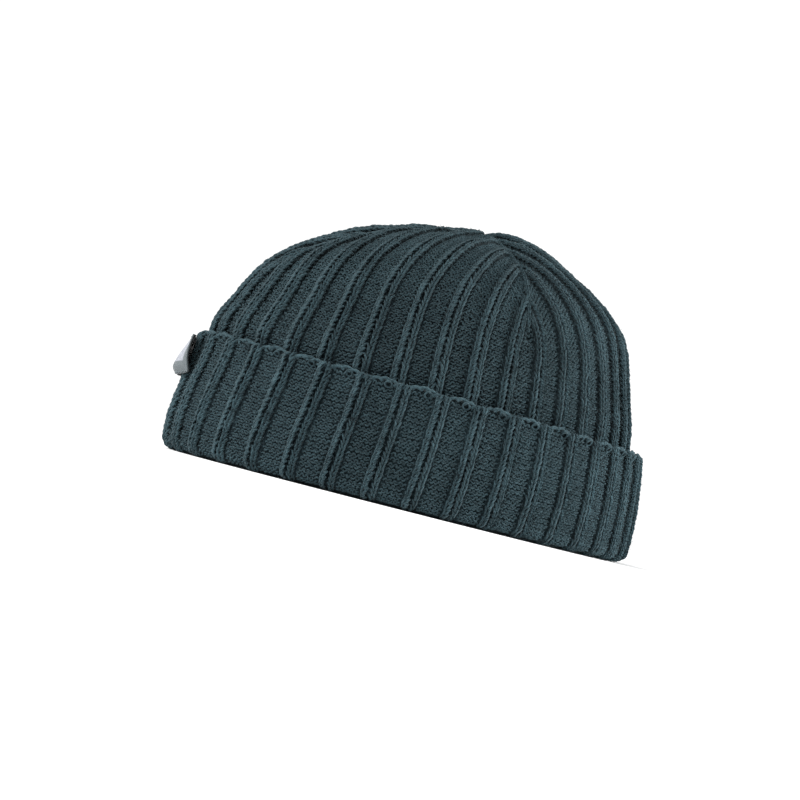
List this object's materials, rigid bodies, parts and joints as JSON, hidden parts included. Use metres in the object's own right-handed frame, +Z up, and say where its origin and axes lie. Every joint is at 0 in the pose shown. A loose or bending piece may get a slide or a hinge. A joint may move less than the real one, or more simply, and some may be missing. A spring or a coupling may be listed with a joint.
{
  "type": "fisherman beanie",
  "caption": "Short rib-knit cap: a hollow dome of ribbed gores with a turned-up ribbed cuff and a small bowed woven label at the forehead",
  "frame": {"origin": "on the surface that the cuff's fold rests on, below the middle of the cap and its label", "axes": "+Z up through the crown, -Y towards the forehead and the label, +X towards the wearer's left"},
  "size_m": [0.202, 0.2112, 0.126],
  "materials": {
    "knit": "soft rib-knit wool, dark slate teal, matt with a light fuzz",
    "cuff_knit": "soft rib-knit wool, dark slate teal, matt with a light fuzz",
    "woven_tape": "close-woven grey tape with a bare pale field, slight satin"
  },
  "bodies": {
    "root": {"crown": "knit", "cuff": "cuff_knit", "label": "woven_tape"}
  },
  "joints": []
}
